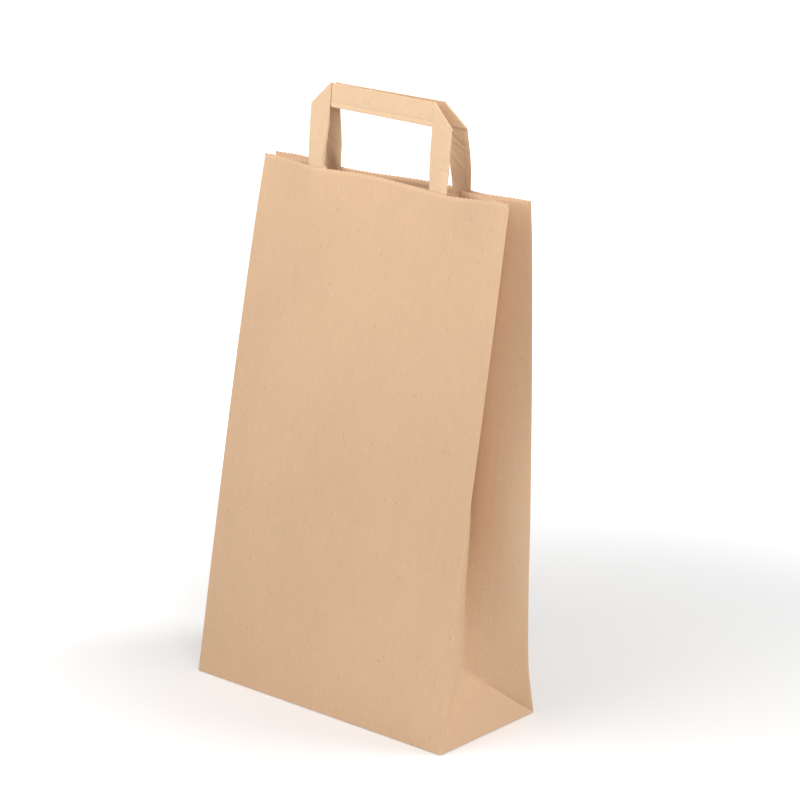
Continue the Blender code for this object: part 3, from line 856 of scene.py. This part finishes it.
    def crease_side(self, row: int, column: int, starts: Tuple[int, int]) -> int:
        """Which way a cell is divided by a sloping crease of a base triangle, or 0."""
        if row >= self.half_cells:
            return 0
        cells = 2 * self.half_cells + 1
        for start in starts:
            place = column - start
            if place == row:
                return -1
            if place == cells - 1 - row:
                return 1
        return 0

    def add_teeth(self, sheet: Sheet, edge: List[int]) -> None:
        """Adds the mouth's knife-cut teeth above the top row."""
        for j, low in enumerate(edge):
            high = edge[(j + 1) % len(edge)]
            a, b = sheet.points[low], sheet.points[high]
            if (b - a).length < SIZES.tooth_pitch * self.least_tooth:
                continue
            sheet.wear_and_highlight[low] = max(sheet.wear_and_highlight[low], self.mouth_wear)
            spot = Vector((a.x * self.tooth_scale, a.y * self.tooth_scale, 4.0))
            cut = 1 - self.tooth_uneven * (1 - noise.noise(spot))
            tip = (a + b) / 2 + Vector((0.0, 0.0, SIZES.tooth_depth * cut))
            ply = Ply(min(sheet.plies[low], sheet.plies[high]))
            sheet.faces.append((low, high, sheet.add(tip, self.crease_wear, ply)))

    def base_flaps(self) -> List[Sheet]:
        """The two long flaps under the base, the outermost one lapped over the other."""
        tip = SIZES.width / 2 - SIZES.depth / 2
        edge = SIZES.width / 2 - SIZES.flap_length
        drop = SIZES.flap_overlap / 2
        half_x, half_y = (SIZES.width - SIZES.paper) / 2, (SIZES.depth - SIZES.paper) / 2
        outer = [(-half_x, half_y), (half_x, half_y), (tip, 0.0), (edge, -drop), (-edge, -drop), (-tip, 0.0)]
        inner = [(-half_x, -half_y), (-tip, 0.0), (-edge, drop), (edge, drop), (tip, 0.0), (half_x, -half_y)]
        made = []
        for outline, low in ((outer, 0.0), (inner, SIZES.paper)):
            sheet = Sheet()
            high = low + SIZES.paper * self.flap_fullness
            bottom = [sheet.add(Vector((x, y, low)), self.flap_wear) for x, y in outline]
            top = [sheet.add(Vector((x, y, high)), self.flap_wear) for x, y in outline]
            sheet.faces += [tuple(bottom), tuple(reversed(top))]
            for j in range(len(outline)):
                k = (j + 1) % len(outline)
                sheet.faces.append((bottom[j], top[j], top[k], bottom[k]))
                sheet.creases += [(bottom[j], bottom[k]), (top[j], top[k]), (bottom[j], top[j])]
            made.append(sheet)
        return made

    def build(self, finish: bpy.types.Material, slot: str) -> List[bpy.types.Object]:
        """Builds the body and the flaps under its base.

        Args:
            finish: The body's paper.
            slot: The record's slot for it.

        Returns:
            The pieces.
        """
        pieces = [self.walls().make(self.name, SIZES.paper)]
        for name, sheet in zip(("base_flap_outer", "base_flap_inner"), self.base_flaps()):
            pieces.append(sheet.make(name))
        for piece in pieces:
            piece.data.materials.append(finish)
            settle(piece, "bag_body", slot)
        return pieces


@dataclass(frozen=True)
class Wrinkle:
    """A crease pressed into the tape, from one place along X and Z to another."""

    start: Place
    end: Place
    depth: float = 0.0003
    width: float = 0.0010

    def at(self, x: float, z: float) -> float:
        """How far the tape is pushed at a place, in metres."""
        run_x, run_z = self.end[0] - self.start[0], self.end[1] - self.start[1]
        along = ((x - self.start[0]) * run_x + (z - self.start[1]) * run_z) / (run_x**2 + run_z**2)
        kept = min(max(along, 0.0), 1.0)
        gap = math.hypot(x - self.start[0] - run_x * kept, z - self.start[1] - run_z * kept)
        return self.depth * math.exp(-((gap / self.width) ** 2)) * ease(kept * 4) * ease((1 - kept) * 4)


@dataclass(frozen=True)
class EdgeFold:
    """A leg's edge folded back beside the mouth, along a line that runs out to the edge above."""

    edge: float
    reach: float = 0.0041
    angle: float = 2.0
    soft: float = 0.0009
    least_angle: float = 0.001
    low: float = 0.3735
    full: float = 0.3800
    high: float = 0.4205

    def at(self, x: float, z: float) -> Triple:
        """Where the fold brings a place of the tape.

        Args:
            x: The place along the bag's width.
            z: Its height.

        Returns:
            Its shift along X, its shift inward, and its turn in radians.
        """
        if not self.edge - SIZES.tape_width < x < self.edge + TINY or not self.low < z < self.high:
            return 0.0, 0.0, 0.0
        reach = self.reach * min((self.high - z) / (self.high - self.full), 1.0)
        angle = self.angle * ease((z - self.low) / (self.full - self.low)) * ease(reach / self.soft / 2)
        run = x - (self.edge - reach - self.soft)
        if run <= 0.0 or angle < self.least_angle:
            return 0.0, 0.0, 0.0
        bent = min(run, 2 * self.soft)
        turn, radius = angle * bent / (2 * self.soft), 2 * self.soft / angle
        along = radius * math.sin(turn) + (run - bent) * math.cos(turn)
        inward = radius * (1 - math.cos(turn)) + (run - bent) * math.sin(turn)
        return along - run, inward, turn


@dataclass(frozen=True)
class TapeRow:
    """A row across the tape, with the direction that its lapped face points in, and how pale it is: wear
    with a painted highlight at the folds.
    """

    outer: Place
    inner: Place
    depth: float = 0.0
    normal: Triple = (0.0, 1.0, 0.0)
    wear_and_highlight: float = 0.0


@dataclass
class TapeHandle:
    """A flat handle of lapped paper tape, folded over itself at both top corners."""

    name: str
    node: str
    panel: Panel
    wrinkles: Tuple[Wrinkle, ...] = ()
    edge_fold: Optional[EdgeFold] = None
    bend_steps: int = 10
    crosspiece_steps: int = 96
    leg_steps: int = 64
    hidden_steps: int = 12
    face_steps: int = 30
    lap_steps: int = 22
    rim: float = 0.012
    free_rise: float = 0.012
    edge_wear: float = 0.6
    flutter: float = 0.00028
    flutter_waves: Table = ((45, 60, 0, 1.0), (150, 170, 3, 0.35))
    seam_drift: float = 0.022
    drift_waves: Table = ((0.16, 0.5, 1.0), (0.45, 7.5, 0.4))
    strip_tone: float = 1.06
    # A darker lap edge: a painted shadow line under the lap.
    seam_shadow_tone: float = 0.84
    seed: float = 0.0

    def section(self, seam: float) -> List[Triple]:
        """The tape's section: share of the width, height from its middle, and tone, darker at the lap's free
        edge as a painted shadow line.

        Args:
            seam: Where the lap's free edge lies, as a share of the width.

        Returns:
            The section's points in order.
        """
        half, lapped, rim = SIZES.tape_thickness / 2, SIZES.tape_thickness / 2 + SIZES.tape_lap, self.rim
        plain = [(0.0, -half * 0.4, 1.0), (rim, -half, 1.0)]
        plain += [(k / self.face_steps, -half, 1.0) for k in range(1, self.face_steps)]
        plain += [(1 - rim, -half, 1.0), (1.0, -half * 0.4, 1.0)]
        over = [(1.0, lapped * 0.5, 1.0), (1 - rim, lapped, 1.0)]
        over += [(mix(1.0, seam, k / self.lap_steps), lapped, 1.0) for k in range(1, self.lap_steps)]
        # The lap's free edge is darkened: a painted shadow line.
        over += [(seam + 1.5 * rim, lapped, 1.0), (seam, lapped * 0.93, self.seam_shadow_tone)]
        strip = [(seam, half, self.seam_shadow_tone)]
        strip += [(seam * share, half, self.strip_tone) for share in (0.86, 0.5, 0.25)]
        return plain + over + strip + [(rim, half, self.strip_tone), (0.0, half * 0.4, 1.0)]

    def rows(self) -> List[TapeRow]:
        """Rows across the tape, up one leg, along the crosspiece and down the other leg."""
        middle, top = self.panel.handle_shift, SIZES.height + SIZES.handle_rise
        low, half = top - SIZES.tape_width, math.sqrt(0.5)
        foot = SIZES.patch_bottom + SIZES.patch_margin
        heights = [mix(foot, SIZES.height, k / self.hidden_steps) for k in range(self.hidden_steps)]
        heights += [mix(SIZES.height, low, k / self.leg_steps) for k in range(self.leg_steps)]
        legs: Dict[int, List[TapeRow]] = {}
        for side in (1, -1):
            outer, inner = middle + side * SIZES.leg_outer, middle + side * SIZES.leg_inner
            leg = [TapeRow((outer, z), (inner, z)) for z in heights]
            leg += [TapeRow((outer, low), (inner, mix(low, top, k / 4))) for k in range(5)]
            # The bend rows are paler towards the fold's middle: wear with a painted highlight along the
            # folded corner.
            for k in range(1, self.bend_steps):
                turn = math.pi * k / self.bend_steps
                out = SIZES.fold_radius * math.sin(turn) * half
                normal = (-math.sin(turn) * half * side, math.cos(turn), -math.sin(turn) * half)
                depth = SIZES.fold_radius * (1 - math.cos(turn))
                leg.append(TapeRow((outer + side * out, low + out), (inner + side * out, top + out),
                                   depth, normal, math.sin(turn)))
            legs[side] = leg
        crosspiece = []
        for k in range(self.crosspiece_steps + 1):
            t = k / self.crosspiece_steps
            crosspiece.append(TapeRow((middle + mix(SIZES.leg_outer, -SIZES.leg_outer, t), low),
                                      (middle + mix(SIZES.leg_inner, -SIZES.leg_inner, t), top),
                                      2 * SIZES.fold_radius, (0.0, -1.0, 0.0)))
        return legs[1] + crosspiece + list(reversed(legs[-1]))

    def wave(self, x: float, z: float) -> float:
        """How far the tape stands out at a place, the same for every layer of it."""
        free = ease((z - SIZES.height) / self.free_rise)
        bend = sum(share * noise.noise(Vector((x * across, z * up, self.seed + step)))
                   for across, up, step, share in self.flutter_waves)
        return free * self.flutter * bend + sum(mark.at(x, z) for mark in self.wrinkles)

    def seam_at(self, number: int) -> float:
        """Where the lap's free edge lies on a row, as a share of the width."""
        drift = sum(share * noise.noise(Vector((number * scale, self.seed, step)))
                    for scale, step, share in self.drift_waves)
        return SIZES.tape_seam + self.seam_drift * drift

    def point(self, row: TapeRow, share: float, height: float) -> Vector:
        """A point of the tape's surface.

        Args:
            row: The row that it lies on.
            share: Its share of the width.
            height: Its height from the middle of the tape.

        Returns:
            The point, in metres.
        """
        inset = SIZES.seat + SIZES.tape_thickness / 2 + SIZES.tape_lap / 2
        flat_x, flat_z = mix(row.outer[0], row.inner[0], share), mix(row.outer[1], row.inner[1], share)
        shift, inward, turn = self.edge_fold.at(flat_x, flat_z) if self.edge_fold else (0.0, 0.0, 0.0)
        x = flat_x + shift + (row.normal[0] - math.sin(turn)) * height
        z = flat_z + row.normal[2] * height
        inward += row.depth + row.normal[1] * math.cos(turn) * height
        y = self.panel.handle_y(x, z, inset) - self.panel.outward * inward
        return Vector((x, y + self.wave(x, z), z))

    def build(self, finish: bpy.types.Material, slot: str) -> bpy.types.Object:
        """Builds the handle.

        Args:
            finish: The tape's paper.
            slot: The record's slot for it.

        Returns:
            The piece.
        """
        sheet = Sheet()
        rings = []
        for number, row in enumerate(self.rows()):
            ring = []
            for share, height, tone in self.section(self.seam_at(number)):
                paling = max(row.wear_and_highlight, self.edge_wear if share in (0.0, 1.0) else 0.0)
                ring.append(sheet.add(self.point(row, share, height), paling, tone=tone))
            rings.append(ring)
        around = len(rings[0])
        lap_edge = next(k for k, entry in enumerate(self.section(SIZES.tape_seam)) if entry[2] < 1.0)
        flip = self.panel.outward < 0
        for lower, upper in zip(rings, rings[1:]):
            for j in range(around):
                k = (j + 1) % around
                face = (lower[j], lower[k], upper[k], upper[j])
                sheet.faces.append(tuple(reversed(face)) if flip else face)
                if j in (lap_edge, lap_edge + 1):
                    sheet.creases.append((lower[j], upper[j]))
        ends = (tuple(reversed(rings[0])), tuple(rings[-1]))
        sheet.faces += [tuple(reversed(end)) if flip else end for end in ends]
        piece = sheet.make(self.name)
        piece.data.materials.append(finish)
        settle(piece, self.node, slot)
        return piece


@dataclass
class LegPatch:
    """A paper patch glued over the ends of a handle's legs, inside a panel."""

    name: str
    node: str
    panel: Panel
    rows: int = 22
    columns: int = 52
    edge_wear: float = 0.5

    def places(self) -> List[float]:
        """Distances from the handle's middle at which the patch is divided."""
        edge = SIZES.patch_width / 2
        ramps = [SIZES.leg_inner - SIZES.patch_ramp, SIZES.leg_inner - SIZES.clearance,
                 SIZES.leg_outer + SIZES.clearance, SIZES.leg_outer + SIZES.patch_ramp]
        even = [mix(-edge, edge, k / self.columns) for k in range(self.columns + 1)]
        return sorted(even + ramps + [-x for x in ramps])

    def build(self, finish: bpy.types.Material, slot: str) -> bpy.types.Object:
        """Builds the patch.

        Args:
            finish: The patch's paper.
            slot: The record's slot for it.

        Returns:
            The piece.
        """
        sheet = Sheet()
        rise = SIZES.tape_thickness + SIZES.tape_lap + SIZES.clearance
        grid = []
        for row in range(self.rows + 1):
            z = mix(SIZES.patch_bottom, SIZES.patch_top, row / self.rows)
            line = []
            for x in self.places():
                near = abs(x)
                climb = (near - (SIZES.leg_inner - SIZES.patch_ramp)) / (SIZES.patch_ramp - SIZES.clearance)
                leave = (SIZES.leg_outer + SIZES.patch_ramp - near) / (SIZES.patch_ramp - SIZES.clearance)
                inset = SIZES.seat + rise * min(ease(climb), ease(leave))
                there = x + self.panel.handle_shift
                y = self.panel.face_y(there, z) - self.panel.outward * inset
                paling = self.edge_wear if row in (0, self.rows) else 0.0
                line.append(sheet.add(Vector((there, y, z)), paling))
            grid.append(line)
        for lower, upper in zip(grid, grid[1:]):
            for j in range(len(lower) - 1):
                face = (lower[j], lower[j + 1], upper[j + 1], upper[j])
                sheet.faces.append(face if self.panel.outward < 0 else tuple(reversed(face)))
        piece = sheet.make(self.name, SIZES.paper)
        piece.data.materials.append(finish)
        settle(piece, self.node, slot)
        return piece


def settle(piece: bpy.types.Object, node: str, slot: str) -> None:
    """Ties a piece to the frame.

    Args:
        piece: The visible piece.
        node: The solid that it stands for.
        slot: The record's material slot; not used.
    """
    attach(piece, "root")
    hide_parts(node)


@dataclass(frozen=True)
class Softbox:
    """A square soft lamp that is aimed at the bag, in degrees, metres and watts."""

    name: str
    azimuth: float
    elevation: float
    distance: float
    watts: float
    side: float = 0.9


SOFTBOXES = (
    Softbox("front_softbox", -20, 25, 1.6, 7.7),
    Softbox("upper_softbox", -8, 66, 0.64, 1.35, side=0.35),
    Softbox("right_softbox", 50, 30, 1.6, 6.1),
    Softbox("rear_right_softbox", 130, 35, 1.6, 12.6),
)


@dataclass
class Studio:
    """The pale floor, the soft light and the camera, in degrees, metres and millimetres of lens."""

    look_at: Triple = (0.0, 0.0, 0.19)
    azimuth: float = 37.35
    elevation: float = 16.76
    roll: float = 3.10
    distance: float = 2.035
    lens: float = 130.28
    sensor: float = 36.0
    shift: Place = (0.0276, 0.0493)
    sky: float = 0.27
    lit_middle: Triple = (0.0, 0.0, 0.2)
    floor_white: float = 0.93
    floor_reach: float = 3.0
    floor_level: float = -0.0003
    floor_glow: float = 0.12
    glow_reach: Place = (0.25, 0.85)
    shadow_middle: Place = (0.17, 0.13)

    def direction(self, azimuth: float, elevation: float) -> Vector:
        """The direction from the bag towards a place round it."""
        a, e = math.radians(azimuth), math.radians(elevation)
        return Vector((math.sin(a) * math.cos(e), -math.cos(a) * math.cos(e), math.sin(e)))

    def camera(self) -> bpy.types.Object:
        """The camera, where the photographer's stood."""
        data = bpy.data.cameras.new("portrait_camera")
        data.lens = self.lens
        data.sensor_width = self.sensor
        data.shift_x, data.shift_y = self.shift
        camera = bpy.data.objects.new("portrait_camera", data)
        bpy.context.scene.collection.objects.link(camera)
        back = self.direction(self.azimuth, self.elevation)
        camera.location = Vector(self.look_at) + back * self.distance
        level = (-back).to_track_quat("-Z", "Y").to_matrix()
        right, up = level.col[0].copy(), level.col[1].copy()
        turn = math.radians(self.roll)
        rolled_right = right * math.cos(turn) + up * math.sin(turn)
        rolled_up = up * math.cos(turn) - right * math.sin(turn)
        for k in range(3):
            level[k][0], level[k][1] = rolled_right[k], rolled_up[k]
        camera.rotation_euler = level.to_euler()
        bpy.context.scene.camera = camera
        return camera

    def floor_paint(self) -> bpy.types.Material:
        """Matt white paint that takes the bag's shadow and meets the white background unseen; for camera
        rays it also glows, least round a point to the bag's right, where the cast shadow shows, and fully
        further out: painted light that whitens the floor.
        """
        material = bpy.data.materials.new("floor_paint")
        material.use_nodes = True
        graph = Graph(material.node_tree)
        shader = material.node_tree.nodes["Principled BSDF"]
        shader.inputs["Base Color"].default_value = (*[self.floor_white] * 3, 1.0)
        shader.inputs["Roughness"].default_value = 1.0
        shader.inputs["Specular IOR Level"].default_value = 0.0
        shader.inputs["Emission Color"].default_value = (1.0, 1.0, 1.0, 1.0)
        middle_x, middle_y = self.shadow_middle
        step = graph.move(graph.place(0.0), (-middle_x, -middle_y, 0.0))
        away = graph.add("ShaderNodeVectorMath", "Value", {0: step}, operation="LENGTH")
        glow = graph.ranged(away, self.glow_reach, (self.floor_glow, 1.0), "SMOOTHSTEP")
        graph.link(graph.times(graph.seen(), glow), shader.inputs["Emission Strength"])
        return material

    def floor(self) -> bpy.types.Object:
        """A white floor under the bag, which takes its shadow."""
        sheet = Sheet()
        reach = self.floor_reach
        corners = [(-reach, -reach), (reach, -reach), (reach, reach), (-reach, reach)]
        sheet.faces.append(tuple(sheet.add(Vector((x, y, self.floor_level))) for x, y in corners))
        floor = sheet.make("floor")
        floor.data.materials.append(self.floor_paint())
        return floor

    def lamps(self) -> None:
        """A dim white sky all round, and the softboxes."""
        world = bpy.data.worlds.new("studio")
        bpy.context.scene.world = world
        world.use_nodes = True
        graph = Graph(world.node_tree)
        background = world.node_tree.nodes["Background"]
        background.inputs["Color"].default_value = (1.0, 1.0, 1.0, 1.0)
        strength = graph.ranged(graph.seen(), (0.0, 1.0), (self.sky, 1.0), "LINEAR")
        graph.link(strength, background.inputs["Strength"])
        for box in SOFTBOXES:
            data = bpy.data.lights.new(box.name, "AREA")
            data.shape = "SQUARE"
            data.size = box.side
            data.energy = box.watts
            lamp = bpy.data.objects.new(box.name, data)
            bpy.context.scene.collection.objects.link(lamp)
            towards = self.direction(box.azimuth, box.elevation)
            lamp.location = Vector(self.lit_middle) + towards * box.distance
            lamp.rotation_euler = (-towards).to_track_quat("-Z", "Y").to_euler()

    def build(self) -> None:
        """Sets up the whole studio."""
        self.floor()
        self.lamps()
        self.camera()
        bpy.context.scene.view_settings.view_transform = "Standard"


FRONT_WRINKLES = (
    Wrinkle((0.0520, 0.3938), (0.0606, 0.3928), 0.00022, 0.0007),
    Wrinkle((-0.0600, 0.3990), (-0.0500, 0.4010), 0.00014, 0.0009),
    Wrinkle((-0.0180, 0.4290), (-0.0080, 0.4345), -0.00016, 0.0012),
)
FRONT_FOLD = EdgeFold(-SIZES.leg_inner)
BACK_WRINKLES = (
    Wrinkle((0.0450, 0.4186), (0.0604, 0.4066), 0.00048, 0.0013),
    Wrinkle((0.0476, 0.4104), (0.0628, 0.4012), 0.00030, 0.0010),
    Wrinkle((0.0440, 0.4066), (0.0592, 0.3896), -0.00046, 0.0015),
    Wrinkle((-0.0590, 0.4128), (-0.0440, 0.4122), 0.00024, 0.0007),
    Wrinkle((-0.0560, 0.4000), (-0.0470, 0.3930), 0.00018, 0.0012),
)

BODY_PAPER = KraftFinish("body_kraft", "body_paper", (0.69, 0.46, 0.29))
HANDLE_PAPER = KraftFinish("handle_kraft", "handle_paper", (0.745, 0.52, 0.335), cloud=0.03, offset=0.37)
PATCH_PAPER = KraftFinish("patch_kraft", "patch_paper", (0.66, 0.43, 0.26), offset=0.81)


def main() -> None:
    """Builds each piece of the bag in order, then the studio."""
    logging.basicConfig(level=logging.INFO, format="%(message)s")
    body_paper, handle_paper, patch_paper = (
        finish.make() for finish in (BODY_PAPER, HANDLE_PAPER, PATCH_PAPER)
    )
    pieces = BagBody().build(body_paper, BODY_PAPER.slot)
    for handle in (
        TapeHandle("tape_handle_front", "handle_front", FRONT, FRONT_WRINKLES, FRONT_FOLD, seed=4.0),
        TapeHandle("tape_handle_back", "handle_back", BACK, BACK_WRINKLES, seed=11.0),
    ):
        pieces.append(handle.build(handle_paper, HANDLE_PAPER.slot))
    for patch in (
        LegPatch("leg_patch_front", "patch_front", FRONT),
        LegPatch("leg_patch_back", "patch_back", BACK),
    ):
        pieces.append(patch.build(patch_paper, PATCH_PAPER.slot))
    for piece in pieces:
        LOG.info("%s: %d faces", piece.name, len(piece.data.polygons))
    Studio().build()


if __name__ == "__main__":
    main()
